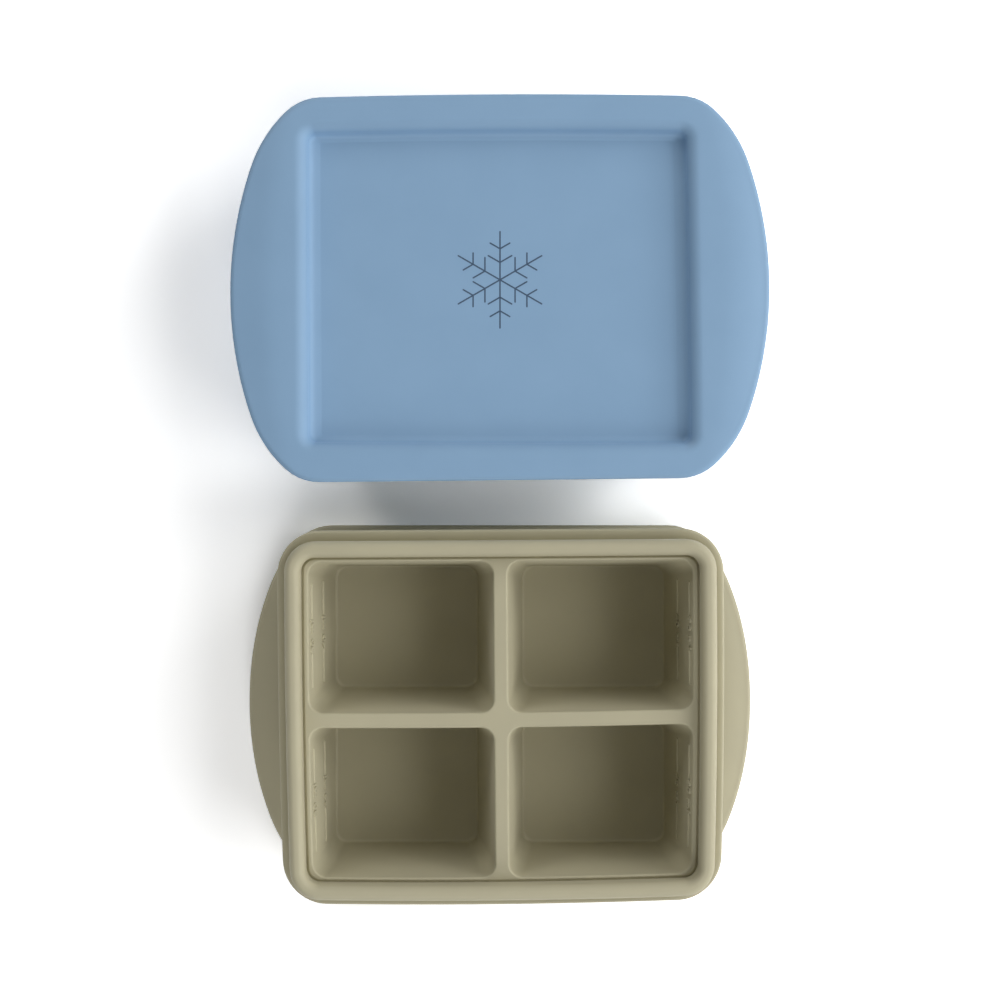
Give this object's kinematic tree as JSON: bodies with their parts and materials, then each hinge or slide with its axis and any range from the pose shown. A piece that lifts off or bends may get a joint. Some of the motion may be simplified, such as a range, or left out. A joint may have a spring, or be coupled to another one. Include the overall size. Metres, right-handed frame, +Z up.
{
  "type": "baby food freezer tray set",
  "caption": "Silicone freezer trays for baby food with press-on lids, shown closed and shown open on its own lid.",
  "frame": {"origin": "on the table, under the middle of the set", "axes": "+Z up, +Y from the open unit to the closed unit, +X along the lids' ears, to the right when the open unit is nearer"},
  "size_m": [0.1726, 0.26, 0.0519],
  "materials": {
    "blue_silicone": "matte",
    "sage_silicone": "matte"
  },
  "bodies": {
    "blue_tray": {"blue_tray": "blue_silicone"},
    "blue_lid": {"blue_lid": "blue_silicone"},
    "sage_lid": {"sage_lid": "sage_silicone"},
    "sage_tray": {"sage_tray": "sage_silicone"}
  },
  "joints": [
    {"name": "blue_lid_lift", "type": "slide", "parent": "blue_tray", "child": "blue_lid", "axis": [0, 0, 1], "range_m": [0, 0.08]},
    {"name": "sage_unit_lift", "type": "slide", "parent": "blue_tray", "child": "sage_lid", "axis": [0, 0, 1], "range_m": [0, 0.06]},
    {"name": "sage_tray_lift", "type": "slide", "parent": "sage_lid", "child": "sage_tray", "axis": [0, 0, 1], "range_m": [0, 0.08]}
  ]
}
